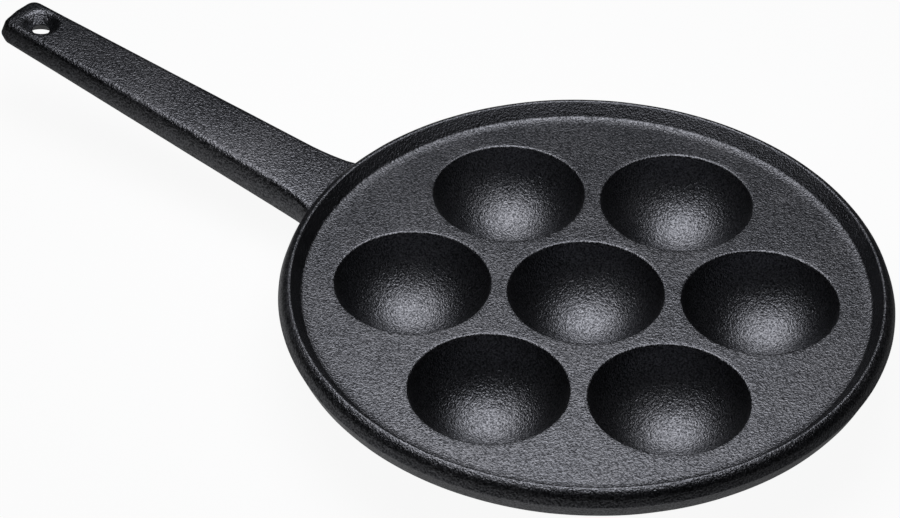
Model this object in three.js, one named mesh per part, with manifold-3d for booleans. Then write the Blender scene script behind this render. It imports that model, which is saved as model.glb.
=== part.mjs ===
// Poffertjes pan: a round cast-iron plate with seven half-round wells and one long handle.
// Millimetres, Z up. The plate turns about Z, the handle points along -X and rises to its tip,
// and the flattened undersides of the wells stand on Z = 0.
import * as THREE from "three";
import { mergeVertices } from "three/addons/utils/BufferGeometryUtils.js";
import Module from "manifold-3d";

// Wells: one in the centre and a ring of six
const wellPitch = 60;
const wellCount = 6;
const wellMouth = 26.9; // radius where the wall meets the deck
const wellDepth = 24;
const wellWall = 4;
const wellFloor = 3; // metal under the deepest point, above the flat underside
const wellLip = 0.9; // rounding of the mouth
const wellCollar = 28.8; // outside radius where the well passes the deck
// Deck
const deckTop = wellDepth + wellFloor;
const deckThick = 4.5;
const deckRadius = 93;
// Rim, as distances from the axis, heights from the deck's top face and corner roundings
const dishStart = 96.1; // the deck begins to rise
const dishRound = 8.5;
const rimFoot = 98.2; // it turns up into the inner wall
const rimFootRise = 0.6;
const rimFootRound = 1.5;
const rimCrest = 101.9; // the two faces of the crest would meet here
const rimCrestRise = 5.5;
const rimCrestRound = 0.9;
const rimShoulder = 104.8; // the outside turns down
const rimShoulderRise = 4;
const rimShoulderRound = 4.2;
const rimWidest = 106.2; // the casting's parting line, at deck height
const rimWidestRound = 0.6;
const rimBottom = 103.6;
const rimBottomRound = 1.2;
const rimDrop = 6.2; // lower edge below the deck
const hollowOut = 98.4; // hollow behind the rim, at the deck's underside
const hollowIn = 99.6; // and at the rim's lower edge
const hollowRound = 0.8;
// Handle
const handleStart = 108; // distance from the pan's axis at which the sizes below are read
const handleLength = 150.6; // from there to the tip, along the slope
const handleRise = 6.63; // degrees
const handleSink = 2.3; // top face below the deck, at the start
const handleWide = 29.6;
const handleWideTip = 21;
const handleThick = 13.5;
const handleThickTip = 9.8;
const edgeWide = 3; // rounding of the long edges, across and in height
const edgeHigh = 3.5;
const tipCorner = 5;
const tipBulge = 0.9;
const flareRound = 9; // fillet between the handle's sides and the rim
const rootReach = 22; // how far the root runs in under the plate
const rootFull = 2; // to here at its full thickness
const rootFade = 28; // and from there to nothing
const eyeInset = 13.75; // centre of the hanging hole from the tip
const eyeWaist = 3.5; // its narrowest radius
const eyeWaistShare = 0.38; // where that is, as a share of the thickness
const eyeWaistRound = 0.5;
const eyeTop = 6.9; // radius at which its wall would meet the top face
const eyeTopRound = 2.6;
const eyeLow = 7.7; // radius at which it would meet the lower face
const eyeLowRound = 1;
const rootEnd = 16; // the root's share of the handle
const eyeStart = 116; // where the eye's share begins
// Joints
const gap = 0.3;
const turn = Math.PI / 180;
const beyond = 80; // larger than the handle across, for the boxes that share it out

const wasm = await Module();
wasm.setup();

const iron = { color: 0x2b2c30, roughness: 0.55, metalness: 0.6 };
const pan = new THREE.Group();
pan.name = "poffertjes_pan";

function addMesh(name, geometry) {
  const mesh = new THREE.Mesh(geometry, new THREE.MeshStandardMaterial(iron));
  mesh.name = name;
  pan.add(mesh);
  return mesh;
}

function solidFrom(geometry) {
  const plain = geometry.clone();
  plain.deleteAttribute("normal");
  plain.deleteAttribute("uv");
  const merged = mergeVertices(plain, 1e-4);
  const vertProperties = new Float32Array(merged.attributes.position.array);
  const triVerts = new Uint32Array(merged.index.array);
  return new wasm.Manifold(new wasm.Mesh({ numProp: 3, vertProperties, triVerts }));
}

function geometryFrom(solid) {
  const mesh = solid.getMesh();
  const geometry = new THREE.BufferGeometry();
  geometry.setAttribute("position", new THREE.BufferAttribute(mesh.vertProperties, 3));
  geometry.setIndex(new THREE.BufferAttribute(mesh.triVerts, 1));
  geometry.computeVertexNormals();
  return geometry;
}

// Points on an arc, from angle a to angle b
function arcPoints(x, y, radius, a, b, steps) {
  const points = [];
  for (let i = 0; i <= steps; i++) {
    const t = a + ((b - a) * i) / steps;
    points.push(new THREE.Vector2(x + radius * Math.cos(t), y + radius * Math.sin(t)));
  }
  return points;
}

// A run of corners [x, y, radius], each corner with a radius rounded by an arc
function roundedRun(corners, steps) {
  const points = [];
  corners.forEach(([x, y, radius], i) => {
    const here = new THREE.Vector2(x, y);
    if (!radius) {
      points.push(here);
      return;
    }
    const before = corners[(i + corners.length - 1) % corners.length];
    const after = corners[(i + 1) % corners.length];
    const back = new THREE.Vector2(before[0], before[1]).sub(here).normalize();
    const ahead = new THREE.Vector2(after[0], after[1]).sub(here).normalize();
    const half = Math.acos(back.dot(ahead)) / 2;
    const middle = back.clone().add(ahead).normalize().multiplyScalar(radius / Math.sin(half));
    const centre = here.clone().add(middle);
    const first = here.clone().addScaledVector(back, radius / Math.tan(half)).sub(centre);
    const last = here.clone().addScaledVector(ahead, radius / Math.tan(half)).sub(centre);
    const start = Math.atan2(first.y, first.x);
    let sweep = Math.atan2(last.y, last.x) - start;
    if (sweep > Math.PI) sweep -= 2 * Math.PI;
    if (sweep < -Math.PI) sweep += 2 * Math.PI;
    points.push(...arcPoints(centre.x, centre.y, radius, start, start + sweep, steps));
  });
  return points;
}

// A profile of (radius, height) turned about Z
function turned(points, segments) {
  return new THREE.LatheGeometry(points, segments).rotateX(Math.PI / 2);
}

// Well: a nearly half-round bowl with a straight collar through the deck and a flat underside
const bowl = (wellMouth ** 2 + wellDepth ** 2) / (2 * wellDepth);
const bowlHeight = deckTop + bowl - wellDepth;
const shell = bowl + wellWall;
const footRadius = Math.sqrt(shell ** 2 - bowlHeight ** 2);
const collarAngle = -Math.acos(wellCollar / shell);
const lipCentre = Math.sqrt((bowl + wellLip) ** 2 - (bowlHeight - deckTop + wellLip) ** 2);
const lipAngle = Math.atan2(deckTop - wellLip - bowlHeight, lipCentre);
const bottomUp = -Math.PI / 2;

function wellGeometry() {
  const outside = arcPoints(0, bowlHeight, shell, -Math.acos(footRadius / shell), collarAngle, 4);
  const lip = arcPoints(lipCentre, deckTop - wellLip, wellLip, Math.PI / 2, Math.PI + lipAngle, 2);
  const inside = arcPoints(0, bowlHeight, bowl, lipAngle, bottomUp, 8);
  const profile = [
    new THREE.Vector2(0, 0),
    ...outside,
    new THREE.Vector2(wellCollar, deckTop),
    ...lip,
    ...inside.slice(1, -1),
    new THREE.Vector2(0, deckTop - wellDepth),
  ];
  return turned(profile, 28);
}

const wellPlaces = [[0, 0]];
for (let i = 0; i < wellCount; i++) {
  const angle = (30 + (360 / wellCount) * i) * turn;
  wellPlaces.push([wellPitch * Math.cos(angle), wellPitch * Math.sin(angle)]);
}
wellPlaces.forEach(([x, y], i) => {
  const well = addMesh(i ? "well_" + i : "well_centre", wellGeometry());
  well.position.set(x, y, 0);
});

// Deck: a flat disc with a round hole for each well
const disc = new THREE.Shape(arcPoints(0, 0, deckRadius, 0, 2 * Math.PI, 60).slice(1));
wellPlaces.forEach(([x, y]) => {
  disc.holes.push(new THREE.Path(arcPoints(x, y, wellCollar + gap, 2 * Math.PI, 0, 36).slice(1)));
});
const deckGeometry = new THREE.ExtrudeGeometry(disc, { depth: deckThick, bevelEnabled: false });
addMesh("deck_plate", deckGeometry.translate(0, 0, deckTop - deckThick));

// Rim: a wall with a narrow crest, dished into the deck, widest at the parting line and drawn in below it
const rimInner = deckRadius + gap;
const rimCorners = [
  [rimInner, deckTop - deckThick, 0],
  [hollowOut, deckTop - deckThick, hollowRound],
  [hollowIn, deckTop - rimDrop, hollowRound],
  [rimBottom, deckTop - rimDrop, rimBottomRound],
  [rimWidest, deckTop, rimWidestRound],
  [rimShoulder, deckTop + rimShoulderRise, rimShoulderRound],
  [rimCrest, deckTop + rimCrestRise, rimCrestRound],
  [rimFoot, deckTop + rimFootRise, rimFootRound],
  [dishStart, deckTop, dishRound],
  [rimInner, deckTop, 0],
];
const rimProfile = roundedRun(rimCorners, 2);
addMesh("rim_wall", turned([...rimProfile, rimProfile[0].clone()], 60));

// Handle: one tapered bar, flared where it meets the rim, running in under the plate as a rounded tongue.
// Its own frame has x = 0 at the start, -x to the tip, and the top face at z = 0.
const slope = handleRise * turn;
const taper = (handleWide - handleWideTip) / 2 / handleLength;
const halfWide = (x) => handleWide / 2 + taper * x;
const sideAngle = Math.atan(taper);

function handleOutline() {
  const flareY = handleWide / 2 + flareRound;
  const flareX = handleStart - Math.sqrt((rimWidest + flareRound) ** 2 - flareY ** 2);
  const wide = (rimWidest / (rimWidest + flareRound)) * flareY;
  const widestX = handleStart - (rimWidest / (rimWidest + flareRound)) * (handleStart - flareX);
  const flare = arcPoints(
    flareX,
    flareY,
    flareRound,
    -Math.asin(flareY / (rimWidest + flareRound)),
    -Math.PI / 2 + sideAngle,
    4,
  );
  const corner = roundedRun(
    [
      [flareX, halfWide(flareX), 0],
      [-handleLength + tipBulge, halfWide(-handleLength), tipCorner],
      [-handleLength, 0, 0],
    ],
    5,
  );
  const tongue = [];
  for (let i = 1; i < 8; i++) {
    const t = (Math.PI / 2) * (1 - i / 8);
    tongue.push(new THREE.Vector2(widestX + rootReach * Math.cos(t), wide * Math.sin(t)));
  }
  const upper = [...tongue.reverse(), ...flare, ...corner.slice(1, -1)];
  const lower = upper.map((p) => new THREE.Vector2(p.x, -p.y)).reverse();
  return [
    new THREE.Vector2(widestX + rootReach, 0),
    ...upper,
    new THREE.Vector2(-handleLength, 0),
    ...lower,
  ];
}

// Thickness along the bar; under the plate it runs out in a quarter ellipse
function handleDepth(x) {
  const straight = handleThick + ((handleThick - handleThickTip) / handleLength) * x;
  const under = Math.min(1, Math.max(0, (x - rootFull) / rootFade));
  return straight * Math.sqrt(1 - under ** 2);
}

const handleGeometry = new THREE.ExtrudeGeometry(new THREE.Shape(handleOutline()), {
  depth: handleThick - 2 * edgeHigh,
  bevelEnabled: true,
  bevelThickness: edgeHigh,
  bevelSize: edgeWide,
  bevelOffset: -edgeWide,
  bevelSegments: 4,
  curveSegments: 24,
});
handleGeometry.translate(0, 0, edgeHigh - handleThick);
const corners = handleGeometry.attributes.position;
for (let i = 0; i < corners.count; i++) {
  corners.setZ(i, (corners.getZ(i) * handleDepth(corners.getX(i))) / handleThick);
}
const handleFrame = new THREE.Matrix4()
  .makeTranslation(-handleStart, 0, deckTop - handleSink)
  .multiply(new THREE.Matrix4().makeRotationY(slope));
const handleSolid = solidFrom(handleGeometry.applyMatrix4(handleFrame));

// Hanging hole: drawn in from both faces to a waist at the parting line, with a wide mouth on top
const eyeX = -handleLength + eyeInset;
const eyeDepth = handleDepth(eyeX);
const clear = 5; // how far the cutting shape runs out past each face
const eyeWall = roundedRun(
  [
    [handleWideTip, -eyeDepth, 0],
    [eyeLow, -eyeDepth, eyeLowRound],
    [eyeWaist, -eyeDepth * eyeWaistShare, eyeWaistRound],
    [eyeTop, 0, eyeTopRound],
    [handleWideTip, 0, 0],
  ],
  4,
).slice(1, -1);
const boreProfile = [
  new THREE.Vector2(0, -eyeDepth - clear),
  new THREE.Vector2(eyeWall[0].x, -eyeDepth - clear),
  ...eyeWall,
  new THREE.Vector2(eyeWall[eyeWall.length - 1].x, clear),
  new THREE.Vector2(0, clear),
];
const boreGeometry = turned(boreProfile, 32).translate(eyeX, 0, 0).applyMatrix4(handleFrame);
const boredHandle = handleSolid.subtract(solidFrom(boreGeometry));

// Room for the rim and the deck, kept clear of the handle by the joint gap
const roomProfile = roundedRun(
  [
    [0, deckTop - deckThick - gap, 0],
    [hollowOut - gap, deckTop - deckThick - gap, 0],
    [hollowIn - gap, deckTop - rimDrop - gap, 0],
    [rimBottom + gap, deckTop - rimDrop - gap, rimBottomRound],
    [rimWidest + gap, deckTop, 0],
    [rimWidest + gap, deckTop + handleWide, 0],
    [0, deckTop + handleWide, 0],
  ],
  3,
);
const clearHandle = boredHandle.subtract(solidFrom(turned(roomProfile, 60)));

function handleShare(name, from, to) {
  const box = new THREE.BoxGeometry(to - from, beyond, beyond);
  box.translate((from + to) / 2, 0, 0);
  box.applyMatrix4(handleFrame);
  addMesh(name, geometryFrom(clearHandle.intersect(solidFrom(box))));
}
handleShare("handle_root", -rootEnd, beyond);
handleShare("handle_grip", -eyeStart, -rootEnd - gap);
handleShare("hanging_eye", -handleLength - beyond, -eyeStart - gap);

export default pan;
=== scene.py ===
import math
import bpy
import bmesh
from mathutils import Matrix, Vector, noise


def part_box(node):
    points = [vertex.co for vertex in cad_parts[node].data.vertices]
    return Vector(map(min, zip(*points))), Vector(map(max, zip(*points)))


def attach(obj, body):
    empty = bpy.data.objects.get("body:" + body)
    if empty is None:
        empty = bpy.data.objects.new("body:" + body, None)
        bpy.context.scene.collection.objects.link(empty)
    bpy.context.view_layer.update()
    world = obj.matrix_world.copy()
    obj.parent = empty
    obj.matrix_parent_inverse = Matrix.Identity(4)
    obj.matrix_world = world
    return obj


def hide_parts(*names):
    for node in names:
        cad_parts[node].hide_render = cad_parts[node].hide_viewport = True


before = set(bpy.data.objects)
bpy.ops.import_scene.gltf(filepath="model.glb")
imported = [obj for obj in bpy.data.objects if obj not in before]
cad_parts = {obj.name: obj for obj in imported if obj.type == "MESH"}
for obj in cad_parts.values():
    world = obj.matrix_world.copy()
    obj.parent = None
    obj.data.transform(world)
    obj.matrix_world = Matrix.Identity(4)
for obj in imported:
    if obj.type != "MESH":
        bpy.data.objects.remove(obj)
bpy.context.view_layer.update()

# Poffertjes pan, one black iron casting: deck, rim, seven wells and a bar handle.
# Shapes are drawn in millimetres and made metres when a piece is finished.
mm = 0.001
mergeMm = 0.0005  # points closer than this become one
cutRoom = 5  # how far a cutting shape passes the metal that it cuts
deckLow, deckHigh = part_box("deck_plate")
deckTop = deckHigh.z / mm
deckUnder = deckLow.z / mm
wellNodes = [name for name in sorted(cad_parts) if name.startswith("well_")]
print("frame loaded, deck top at", round(deckTop, 2), "mm,", len(wellNodes), "wells")


def hexColour(text):
    channels = [int(text[i:i + 2], 16) / 255 for i in (1, 3, 5)]
    return [c / 12.92 if c <= 0.04045 else ((c + 0.055) / 1.055) ** 2.4 for c in channels] + [1.0]


def addNode(tree, kind, inputs, **settings):
    node = tree.nodes.new(kind)
    for name, value in settings.items():
        setattr(node, name, value)
    for name, value in inputs.items():
        if isinstance(value, bpy.types.NodeSocket):
            tree.links.new(value, node.inputs[name])
        else:
            node.inputs[name].default_value = value
    return node


def newMaterial(name):
    material = bpy.data.materials.new(name)
    material.use_nodes = True
    material.node_tree.nodes.clear()
    return material, material.node_tree


# Seasoned grey iron, sand-cast: oil baked on to a near-black film over the pebbled print of the sand.
# Satin sheen, little colour, and a fine speckle of dull pits between rubbed grains and painted glints.
# Sand grains of a quarter of a millimetre are drawn over twice as large, so that they show at this distance.
plateSkin = dict(
    name="seasonedSandCastIron",
    pit="#414245", dark="#6f7176", light="#848487",
    grainMm=0.65, grainHeight=0.26, grainDetail=2.0, grainRough=0.5, pitFrom=0.36, pitTo=0.64,
    pebbleMm=1.3, pebbleHeight=0.065, pebbleSmooth=0.7,
    patchMm=26, patchDetail=3.0, patchFrom=0.3, patchTo=0.7, roughLow=0.325, roughHigh=0.405,
)
# painted shade: inside the rim's wall the colour is taken down to that of the pits, darkening the wall's
# hollow
rimSkin = dict(
    plateSkin,
    name="seasonedSandCastIronDullWall",
    wallMm=99.9, wallHalfMm=1.4, wallFadeMm=0.8, wallDull=0.85,
)
handleSkin = dict(
    plateSkin,
    name="seasonedSandCastIronCoarse",
    grainMm=0.78, grainHeight=0.30,
    pebbleMm=1.6, pebbleHeight=0.08,
)


# Paints shade: takes the colour back to that of the pits in a ring about the pan's axis
def paintWallShade(tree, place, skin, colour):
    plan = addNode(tree, "ShaderNodeMapping", {"Vector": place, "Scale": (1, 1, 0)})
    fromAxis = addNode(tree, "ShaderNodeVectorMath", {0: plan.outputs["Vector"]}, operation="LENGTH")
    fromWall = addNode(tree, "ShaderNodeMath", {0: fromAxis.outputs["Value"], 1: skin["wallMm"] * mm},
                       operation="SUBTRACT")
    offWall = addNode(tree, "ShaderNodeMath", {0: fromWall.outputs[0]}, operation="ABSOLUTE")
    shadeMask = addNode(tree, "ShaderNodeMapRange", {
        "Value": offWall.outputs[0], "From Min": skin["wallHalfMm"] * mm,
        "From Max": (skin["wallHalfMm"] + skin["wallFadeMm"]) * mm,
        "To Min": skin["wallDull"], "To Max": 0.0}, interpolation_type="SMOOTHSTEP")
    return addNode(tree, "ShaderNodeMix", {
        "Factor": shadeMask.outputs["Result"], "A": colour.outputs["Result"], "B": hexColour(skin["pit"])},
        data_type="RGBA")


def ironSkin(skin):
    material, tree = newMaterial(skin["name"])
    place = addNode(tree, "ShaderNodeTexCoord", {}).outputs["Object"]
    patches = addNode(tree, "ShaderNodeTexNoise", {
        "Vector": place, "Scale": 1 / (skin["patchMm"] * mm), "Detail": skin["patchDetail"]})
    grain = addNode(tree, "ShaderNodeTexNoise", {
        "Vector": place, "Scale": 1 / (skin["grainMm"] * mm), "Detail": skin["grainDetail"],
        "Roughness": skin["grainRough"]})
    pebbles = addNode(tree, "ShaderNodeTexVoronoi", {
        "Vector": place, "Scale": 1 / (skin["pebbleMm"] * mm), "Smoothness": skin["pebbleSmooth"]},
        feature="SMOOTH_F1")
    rubbed = addNode(tree, "ShaderNodeMix", {
        "Factor": patches.outputs["Fac"], "A": hexColour(skin["dark"]), "B": hexColour(skin["light"])},
        data_type="RGBA")
    # speckle painted in the colour: dark pits and light rubbed grains, which also stand in as painted glints
    # of the facets
    glintAndPitSpeckle = addNode(tree, "ShaderNodeMapRange", {
        "Value": grain.outputs["Fac"], "From Min": skin["pitFrom"], "From Max": skin["pitTo"]})
    colour = addNode(tree, "ShaderNodeMix", {
        "Factor": glintAndPitSpeckle.outputs["Result"], "A": hexColour(skin["pit"]), "B": rubbed.outputs["Result"]},
        data_type="RGBA")
    # painted shade on the rim's inner wall
    if "wallMm" in skin:
        colour = paintWallShade(tree, place, skin, colour)
    rough = addNode(tree, "ShaderNodeMapRange", {
        "Value": patches.outputs["Fac"], "From Min": skin["patchFrom"], "From Max": skin["patchTo"],
        "To Min": skin["roughLow"], "To Max": skin["roughHigh"]})
    pebbleBump = addNode(tree, "ShaderNodeBump", {
        "Height": pebbles.outputs["Distance"], "Distance": skin["pebbleHeight"] * mm, "Strength": 1.0},
        invert=True)
    grainBump = addNode(tree, "ShaderNodeBump", {
        "Height": grain.outputs["Fac"], "Distance": skin["grainHeight"] * mm, "Strength": 1.0,
        "Normal": pebbleBump.outputs["Normal"]})
    shader = addNode(tree, "ShaderNodeBsdfPrincipled", {
        "Base Color": colour.outputs["Result"], "Roughness": rough.outputs["Result"],
        "Metallic": 1.0, "Normal": grainBump.outputs["Normal"]})
    addNode(tree, "ShaderNodeOutputMaterial", {"Surface": shader.outputs["BSDF"]})
    return material


plateIron = ironSkin(plateSkin)
rimIron = ironSkin(rimSkin)
handleIron = ironSkin(handleSkin)
print("iron skins made")


def roundCorner(bm, vert, radius, steps):
    back, ahead = (edge.other_vert(vert).co - vert.co for edge in vert.link_edges)
    reach = radius / math.tan(back.angle(ahead) / 2)
    bmesh.ops.bevel(bm, geom=[vert], offset=reach, offset_type="OFFSET", segments=steps,
                    profile=0.5, affect="VERTICES", material=-1)


# Straight runs between corners (u, v, radius), each corner with a radius rounded
def drawRun(bm, corners, toPoint, closed=False, steps=6):
    verts = [bm.verts.new(toPoint(u, v)) for u, v, radius in corners]
    pairs = list(zip(verts, verts[1:]))
    if closed:
        pairs.append((verts[-1], verts[0]))
    for pair in pairs:
        bm.edges.new(pair)
    for vert, (u, v, radius) in zip(verts, corners):
        if radius:
            roundCorner(bm, vert, radius, steps)
    return verts


def turnRun(bm, centre, steps):
    bmesh.ops.spin(bm, geom=bm.verts[:] + bm.edges[:], cent=centre, axis=(0, 0, 1),
                   angle=2 * math.pi, steps=steps, use_merge=True)
    bmesh.ops.remove_doubles(bm, verts=bm.verts, dist=mergeMm)
    bmesh.ops.recalc_face_normals(bm, faces=bm.faces)


# A drum about the Z axis through centre, used only to cut
def drum(centre, radius, low, high, steps):
    bm = bmesh.new()
    drawRun(bm, [(0, low, 0), (radius, low, 0), (radius, high, 0), (0, high, 0)],
            lambda r, z: (centre[0] + r, centre[1], z))
    turnRun(bm, centre, steps)
    return bm


def cutShape(bm, tool, operation):
    objects = []
    for shape in (bm, tool):
        mesh = bpy.data.meshes.new("cutting")
        shape.to_mesh(mesh)
        shape.free()
        objects.append(bpy.data.objects.new("cutting", mesh))
        bpy.context.scene.collection.objects.link(objects[-1])
    modifier = objects[0].modifiers.new("cut", "BOOLEAN")
    modifier.object = objects[1]
    modifier.operation = operation
    modifier.solver = "EXACT"
    result = bmesh.new()
    result.from_object(objects[0], bpy.context.evaluated_depsgraph_get())
    for made in objects:
        mesh = made.data
        bpy.data.objects.remove(made)
        bpy.data.meshes.remove(mesh)
    return result


# The slight unevenness of a sand casting. It depends on the place alone, so neighbours still meet,
# and it fades out towards the flats that the pan stands on.
castWave = dict(seed=3, longMm=15, longHeight=0.07, shortMm=6, shortHeight=0.025, flatBelow=1.5, fullAbove=7)
noise.seed_set(castWave["seed"])  # every run casts the same pan


def waveMetal(bm):
    fadeMm = castWave["fullAbove"] - castWave["flatBelow"]
    for vert in bm.verts:
        fade = min(1, max(0, (vert.co.z - castWave["flatBelow"]) / fadeMm))
        long = noise.noise_vector(vert.co / castWave["longMm"]) * castWave["longHeight"]
        short = noise.noise_vector(vert.co / castWave["shortMm"]) * castWave["shortHeight"]
        vert.co += (long + short) * fade


def finishPiece(name, node, bm, material, creaseDegrees=40):
    bmesh.ops.scale(bm, vec=(mm, mm, mm), verts=bm.verts)
    mesh = bpy.data.meshes.new(name)
    bm.to_mesh(mesh)
    bm.free()
    mesh.shade_smooth()
    mesh.set_sharp_from_angle(angle=math.radians(creaseDegrees))
    mesh.materials.append(material)
    piece = bpy.data.objects.new(name, mesh)
    bpy.context.scene.collection.objects.link(piece)
    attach(piece, "root")
    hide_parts(node)
    print(name, len(mesh.polygons), "faces")


# Wells: a nearly half-round bowl, a rounded lip, a skirt under the deck and a flat to stand on
well = dict(
    mouth=26.9, depth=24, wall=4, seam=28.95, collar=28.8, skirt=2.4, skirtThick=0.1,
    lip=0.9, footRound=8, lipSteps=5, skirtSteps=5, footSteps=3,
    bowlSteps=28, shellSteps=14, turnSteps=144,
)


def wellCentre(node):
    low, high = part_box(node)
    return ((low.x + high.x) / 2 / mm, (low.y + high.y) / 2 / mm, 0)


def makeWell(node):
    centre = Vector(wellCentre(node))
    bowl = (well["mouth"] ** 2 + well["depth"] ** 2) / (2 * well["depth"])
    heart = deckTop + bowl - well["depth"]  # height of the bowl's centre
    shell = bowl + well["wall"]
    footRadius = math.sqrt(shell ** 2 - heart ** 2)
    pivot = centre + Vector((0, 0, heart))
    bm = bmesh.new()
    bottom = bm.verts.new(centre + Vector((0, 0, deckTop - well["depth"])))
    lip = bmesh.ops.spin(bm, geom=[bottom], cent=pivot, axis=(0, -1, 0), steps=well["bowlSteps"],
                         angle=math.acos((heart - deckTop) / bowl))["geom_last"][0]
    foot = bm.verts.new(centre + Vector((footRadius, 0, 0)))
    shellTurn = math.asin(well["collar"] / shell) - math.asin(footRadius / shell)
    waist = bmesh.ops.spin(bm, geom=[foot], cent=pivot, axis=(0, -1, 0), steps=well["shellSteps"],
                           angle=shellTurn)["geom_last"][0]
    under = bm.verts.new(centre)
    bm.edges.new((under, foot))
    skirtEdge = well["collar"] + well["skirt"]
    skirtTop = deckUnder + well["skirtThick"]
    collar = [(well["collar"], deckUnder, 0), (skirtEdge, deckUnder, 0), (skirtEdge, skirtTop, 0),
              (well["seam"], skirtTop, 0), (well["seam"], deckTop, 0)]
    corners = drawRun(bm, collar, lambda r, z: (centre.x + r, centre.y, z))
    bm.edges.new((waist, corners[0]))
    bm.edges.new((corners[-1], lip))
    roundCorner(bm, lip, well["lip"], well["lipSteps"])
    roundCorner(bm, corners[0], well["skirt"], well["skirtSteps"])
    roundCorner(bm, foot, well["footRound"], well["footSteps"])
    turnRun(bm, centre, well["turnSteps"])
    waveMetal(bm)
    finishPiece("cast" + node.title().replace("_", ""), node, bm, plateIron)


for node in wellNodes:
    makeWell(node)

# Rim: a wall with a narrow crest, dished into the deck, widest at the parting line and drawn in below it.
# Corners as (distance from the axis, height above the deck, rounding).
rim = dict(
    seam=93.15,
    dish=(96.1, 0, 8.5), foot=(98.2, 0.6, 1.5), crest=(101.9, 5.5, 0.9), shoulder=(104.7, 4.0, 4.2),
    widest=(106.05, 0, 0.6), bottom=(103.5, -6.2, 1.2), hollowIn=(99.6, -6.2, 0.8),
    hollowOut=98.4, hollowRound=0.8, turnSteps=288,
)


def rimCorners(names):
    corners = []
    for name in names:
        radius, height, rounding = rim[name]
        corners.append((radius, deckTop + height, rounding))
    return corners


rimOutside = [(rim["hollowOut"], deckUnder, rim["hollowRound"])]
rimOutside += rimCorners(("hollowIn", "bottom", "widest"))


def makeRim():
    bm = bmesh.new()
    inside = rimCorners(("shoulder", "crest", "foot", "dish"))
    seam = [(rim["seam"], deckTop, 0), (rim["seam"], deckUnder, 0)]
    drawRun(bm, rimOutside + inside + seam, lambda r, z: (r, 0, z), closed=True)
    turnRun(bm, (0, 0, 0), rim["turnSteps"])
    waveMetal(bm)
    finishPiece("castRim", "rim_wall", bm, rimIron)


makeRim()

# Deck: a flat slab with a round hole for each well
deck = dict(cell=2.5)


def makeDeck():
    half = rim["seam"] + deck["cell"]
    cells = round(2 * half / deck["cell"])
    bm = bmesh.new()
    bmesh.ops.create_grid(bm, x_segments=cells, y_segments=cells, size=half)
    bmesh.ops.translate(bm, vec=(0, 0, deckUnder), verts=bm.verts)
    raised = bmesh.ops.extrude_face_region(bm, geom=bm.faces[:])["geom"]
    bmesh.ops.translate(bm, vec=(0, 0, deckTop - deckUnder),
                        verts=[made for made in raised if isinstance(made, bmesh.types.BMVert)])
    bmesh.ops.recalc_face_normals(bm, faces=bm.faces)
    low = deckUnder - cutRoom
    high = deckTop + cutRoom
    bm = cutShape(bm, drum((0, 0, 0), rim["seam"], low, high, rim["turnSteps"]), "INTERSECT")
    for node in wellNodes:
        tool = drum(wellCentre(node), well["seam"], low, high, well["turnSteps"])
        bm = cutShape(bm, tool, "DIFFERENCE")
    waveMetal(bm)
    finishPiece("castDeck", "deck_plate", bm, plateIron)


makeDeck()

# Handle: one tapered bar that rises to its tip, flared at the rim, with a tongue running in under the plate.
# Its own x is 0 just outside the rim and grows under the plate, so the grip and the tip lie at minus x.
handle = dict(
    start=108, length=150.35, rise=6.63, sink=2.45, wide=29.7, wideTip=21.1, thick=13.5, thickTip=9.8,
    topEdge=2.2, lowEdge=2.4, edgeSteps=5, topDraft=1.8, lowDraft=1.5, partingRoot=0.34, partingTip=0.60,
    tipCorner=5.0, tipBulge=0.9, cornerSteps=8,
    flare=9, horn=2.5,  # fillet to the rim, and how far its end runs on
    reach=22, tongueRound=19, tongueFull=2, tongueFade=28,  # tongue under the plate, which thins to nothing
    widenFrom=20, widenRate=0.007, widenMost=2.2, widenFull=16, widenNone=24,  # top face beside the rim
    rootEnd=16.15, eyeStart=116.15, ringMm=4, mergeMm=0.001, headroom=20,
)
# Hanging hole: drawn in from both faces to a waist, with a wide round mouth on top
eye = dict(
    inset=13.5, waist=3.0, waistShare=0.38, waistRound=0.5, top=6.7, topRound=2.6, topMouth=8.0,
    low=7.8, lowRound=1, lowMouth=8.6, cornerSteps=10, turnSteps=72,
)
handleFrame = (Matrix.Translation((-handle["start"], 0, deckTop - handle["sink"]))
               @ Matrix.Rotation(math.radians(handle["rise"]), 4, "Y"))


def handleDepth(x):
    straight = handle["thick"] + (handle["thick"] - handle["thickTip"]) / handle["length"] * x
    under = min(1, max(0, (x - handle["tongueFull"]) / handle["tongueFade"]))
    return straight * math.sqrt(1 - under ** 2)


def handleOutline():
    taper = (handle["wide"] - handle["wideTip"]) / 2 / handle["length"]
    edge = rim["widest"][0]
    far = edge + handle["flare"]
    flareY = handle["wide"] / 2 + handle["flare"]
    flareX = handle["start"] - math.sqrt(far ** 2 - flareY ** 2)
    out = Vector((flareX - handle["start"], flareY)) / far
    touch = Vector((handle["start"], 0)) + out * edge
    cornerX = (touch.x * out.x + (touch.y - handle["wide"] / 2) * out.y) / (out.x + taper * out.y)
    corner = Vector((cornerX, handle["wide"] / 2 + taper * cornerX))
    horn = touch + (touch - corner).normalized() * handle["horn"]
    half = [
        (horn.x + handle["reach"], horn.y, handle["tongueRound"]),
        (horn.x, horn.y, 0),
        (corner.x, corner.y, handle["flare"]),
        (handle["tipBulge"] - handle["length"], handle["wideTip"] / 2, handle["tipCorner"]),
        (-handle["length"], 0, 0),
    ]
    return half + [(x, -y, radius) for x, y, radius in reversed(half[:-1])]


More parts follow.
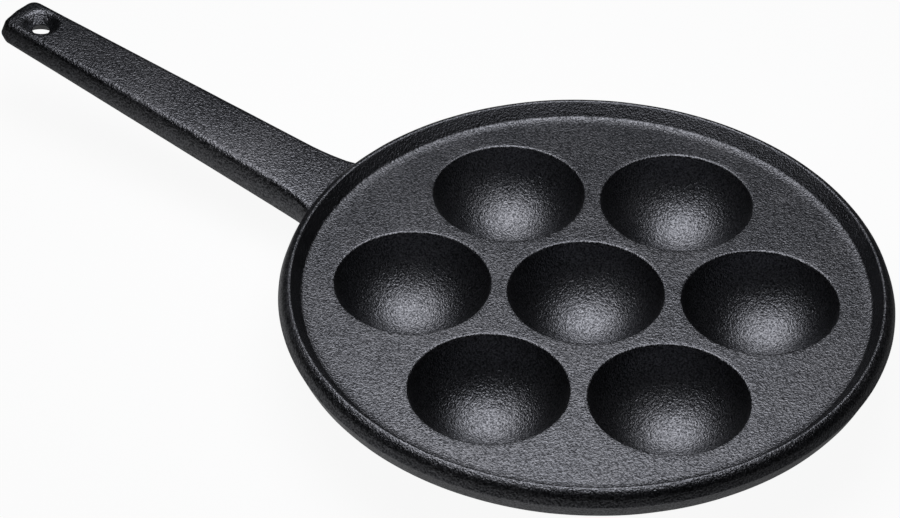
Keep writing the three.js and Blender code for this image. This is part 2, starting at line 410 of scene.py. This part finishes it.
# The outline at half the bar's depth, drawn in to both faces and rounded over, then cut into short lengths
def barBlank():
    middle = handle["thick"] / 2
    bm = bmesh.new()
    drawRun(bm, handleOutline(), lambda x, y: (x, y, -middle), closed=True, steps=handle["cornerSteps"])
    top = bmesh.ops.contextual_create(bm, geom=bm.edges[:])["faces"][0]
    if top.normal.z < 0:
        bmesh.ops.reverse_faces(bm, faces=[top])
    copied = bmesh.ops.duplicate(bm, geom=[top])["geom"]
    low = next(made for made in copied if isinstance(made, bmesh.types.BMFace))
    bmesh.ops.reverse_faces(bm, faces=[low])
    for face, draft, edge in ((top, "topDraft", "topEdge"), (low, "lowDraft", "lowEdge")):
        bmesh.ops.inset_region(bm, faces=[face], thickness=handle[draft], depth=middle,
                               use_even_offset=True, use_boundary=True)
        bmesh.ops.bevel(bm, geom=face.edges[:], offset=handle[edge], offset_type="OFFSET",
                        segments=handle["edgeSteps"], profile=0.5, affect="EDGES", clamp_overlap=False,
                        material=-1)
    bmesh.ops.remove_doubles(bm, verts=bm.verts, dist=handle["mergeMm"])
    bmesh.ops.recalc_face_normals(bm, faces=bm.faces)
    ring = -handle["length"] + handle["ringMm"]
    while ring < handle["reach"]:
        bmesh.ops.bisect_plane(bm, geom=bm.verts[:] + bm.edges[:] + bm.faces[:], plane_co=(ring, 0, 0),
                               plane_no=(1, 0, 0), dist=handle["mergeMm"])
        ring += handle["ringMm"]
    return bm


# The parting line sinks through the side towards the tip, and the bar thins.
# Towards the rim the top widens gently, and the underside stays straight.
def shapeBar(bm):
    middle = 0.5  # where the blank parts, as a share of its depth
    topShare = handle["topEdge"] / handle["thick"]
    lowShare = 1 - handle["lowEdge"] / handle["thick"]
    for vert in bm.verts:
        along = min(1, max(0, -vert.co.x / handle["length"]))
        parting = handle["partingRoot"] + (handle["partingTip"] - handle["partingRoot"]) * along
        depth = -vert.co.z / handle["thick"]
        if topShare < depth <= middle:
            depth = topShare + (depth - topShare) / (middle - topShare) * (parting - topShare)
        elif middle < depth < lowShare:
            depth = lowShare - (lowShare - depth) / (lowShare - middle) * (lowShare - parting)
        widen = handle["widenRate"] * max(0, vert.co.x + handle["widenFrom"]) ** 2
        spare = (handle["widenNone"] - abs(vert.co.y)) / (handle["widenNone"] - handle["widenFull"])
        shift = min(handle["widenMost"], widen) * min(1, max(0, spare)) * (1 - depth)
        vert.co.y += math.copysign(shift, vert.co.y)
        vert.co.z = -depth * handleDepth(vert.co.x)


def eyeBore():
    eyeX = eye["inset"] - handle["length"]
    below = -handleDepth(eyeX)
    spool = [
        (0, below - cutRoom, 0), (eye["lowMouth"], below - cutRoom, 0), (eye["lowMouth"], below, 0),
        (eye["low"], below, eye["lowRound"]), (eye["waist"], below * eye["waistShare"], eye["waistRound"]),
        (eye["top"], 0, eye["topRound"]), (eye["topMouth"], 0, 0),
        (eye["topMouth"], cutRoom, 0), (0, cutRoom, 0),
    ]
    bm = bmesh.new()
    drawRun(bm, spool, lambda r, z: (eyeX + r, 0, z), steps=eye["cornerSteps"])
    turnRun(bm, (eyeX, 0, 0), eye["turnSteps"])
    return bm


# The room that the plate takes, from its underside to well above the rim
def plateRoom():
    high = deckTop + handle["headroom"]
    above = [(rim["widest"][0], high, 0), (0, high, 0)]
    bm = bmesh.new()
    drawRun(bm, [(0, deckUnder, 0)] + rimOutside + above, lambda r, z: (r, 0, z))
    turnRun(bm, (0, 0, 0), rim["turnSteps"])
    return bm


def makeHandle():
    bm = barBlank()
    shapeBar(bm)
    bm = cutShape(bm, eyeBore(), "DIFFERENCE")
    bmesh.ops.transform(bm, matrix=handleFrame, verts=bm.verts)
    bm = cutShape(bm, plateRoom(), "DIFFERENCE")
    waveMetal(bm)
    return bm


def handleShare(bm, name, node, ends):
    share = bm.copy()
    for x, keepSide in ends:
        bmesh.ops.bisect_plane(share, geom=share.verts[:] + share.edges[:] + share.faces[:],
                               plane_co=handleFrame @ Vector((x, 0, 0)),
                               plane_no=handleFrame.to_3x3() @ Vector((keepSide, 0, 0)),
                               dist=mergeMm, clear_inner=True)
        bmesh.ops.holes_fill(share, edges=[edge for edge in share.edges if edge.is_boundary])
    finishPiece(name, node, share, handleIron)


wholeHandle = makeHandle()
handleShare(wholeHandle, "castHandleRoot", "handle_root", [(-handle["rootEnd"], 1)])
handleShare(wholeHandle, "castHandleGrip", "handle_grip",
            [(-handle["rootEnd"], -1), (-handle["eyeStart"], 1)])
handleShare(wholeHandle, "castHangingEye", "hanging_eye", [(-handle["eyeStart"], -1)])
wholeHandle.free()

# Camera at the photograph's angle
shot = dict(place=(0.40867, -0.68406, 0.70849), turn=(49.9968, -0.398, 34.5679), lens=121.596, sensor=36)
camera = bpy.data.objects.new("camera", bpy.data.cameras.new("camera"))
camera.location = shot["place"]
camera.rotation_euler = [math.radians(angle) for angle in shot["turn"]]
camera.data.lens = shot["lens"]
camera.data.sensor_width = shot["sensor"]
camera.data.sensor_fit = "HORIZONTAL"
bpy.context.scene.collection.objects.link(camera)
bpy.context.scene.camera = camera

# Floor: pale matt paper, white to the camera with the shadow kept. In the iron's reflections the paper glows
# with a painted pool of light around the pan, fading into the room.
floorLook = dict(
    colour="#f2f2f2", radius=3, segments=96, shown=0.93, mirrored=0.95,
    pool=(-0.065, -0.104, 0), poolIn=0.09, poolOut=0.33, poolBright=0.35, poolDim=0.05,
)


def makeFloor():
    material, tree = newMaterial("paleMattPaper")
    path = addNode(tree, "ShaderNodeLightPath", {}).outputs
    mirrored = addNode(tree, "ShaderNodeMath", {0: path["Is Glossy Ray"], 1: path["Is Transmission Ray"]},
                       operation="MAXIMUM")
    mirroredShare = addNode(tree, "ShaderNodeMath", {0: mirrored.outputs[0], 1: floorLook["mirrored"]},
                            operation="MULTIPLY")
    share = addNode(tree, "ShaderNodeMath", {
        0: path["Is Camera Ray"], 1: floorLook["shown"], 2: mirroredShare.outputs[0]},
        operation="MULTIPLY_ADD")
    place = addNode(tree, "ShaderNodeTexCoord", {}).outputs["Object"]
    # painted pool of light: seen in reflections, the paper's glow is brightest near the pan and fades
    # outwards
    away = addNode(tree, "ShaderNodeVectorMath", {0: place, 1: floorLook["pool"]}, operation="DISTANCE")
    pool = addNode(tree, "ShaderNodeMapRange", {
        "Value": away.outputs["Value"], "From Min": floorLook["poolIn"], "From Max": floorLook["poolOut"],
        "To Min": floorLook["poolBright"], "To Max": floorLook["poolDim"]}, interpolation_type="SMOOTHSTEP")
    paintedPoolGlow = addNode(tree, "ShaderNodeMath", {
        0: mirrored.outputs[0], 1: pool.outputs["Result"], 2: path["Is Camera Ray"]},
        operation="MULTIPLY_ADD")
    paper = addNode(tree, "ShaderNodeBsdfDiffuse", {"Color": hexColour(floorLook["colour"])})
    whiteAndPoolGlow = addNode(tree, "ShaderNodeEmission", {"Strength": paintedPoolGlow.outputs[0]})
    mixed = addNode(tree, "ShaderNodeMixShader", {
        0: share.outputs[0], 1: paper.outputs["BSDF"], 2: whiteAndPoolGlow.outputs["Emission"]})
    addNode(tree, "ShaderNodeOutputMaterial", {"Surface": mixed.outputs["Shader"]})
    bm = bmesh.new()
    bmesh.ops.create_circle(bm, cap_ends=True, segments=floorLook["segments"], radius=floorLook["radius"])
    mesh = bpy.data.meshes.new("floor")
    bm.to_mesh(mesh)
    bm.free()
    mesh.materials.append(material)
    floor = bpy.data.objects.new("floor", mesh)
    bpy.context.scene.collection.objects.link(floor)


makeFloor()

# Light: a softbox overhead, a faint card behind it on the handle's side, and a dim room
softbox = dict(name="softbox", place=(-0.0737, 0.0367, 0.381), tilt=0, turn=34.5, wide=0.416, deep=0.330,
               watts=1.57, colour="#fbfbff")
backCard = dict(name="backCard", place=(-0.43, 0.36, 0.40), tilt=-45, turn=45, wide=0.36, deep=0.30,
                watts=0.035, colour="#f4f7ff")


def hangLamp(look):
    lamp = bpy.data.lights.new(look["name"], "AREA")
    lamp.shape = "RECTANGLE"
    lamp.size = look["wide"]
    lamp.size_y = look["deep"]
    lamp.energy = look["watts"]
    lamp.color = hexColour(look["colour"])[:3]
    hung = bpy.data.objects.new(look["name"], lamp)
    hung.location = look["place"]
    hung.rotation_euler = (math.radians(look["tilt"]), 0, math.radians(look["turn"]))
    bpy.context.scene.collection.objects.link(hung)


hangLamp(softbox)
hangLamp(backCard)

roomLight = dict(colour="#d8deea", strength=0.01)
world = bpy.data.worlds.new("room")
world.use_nodes = True
bpy.context.scene.world = world
background = world.node_tree.nodes["Background"]
background.inputs["Color"].default_value = hexColour(roomLight["colour"])
background.inputs["Strength"].default_value = roomLight["strength"]
bpy.context.scene.view_settings.view_transform = "Standard"
print("camera, floor and light set")
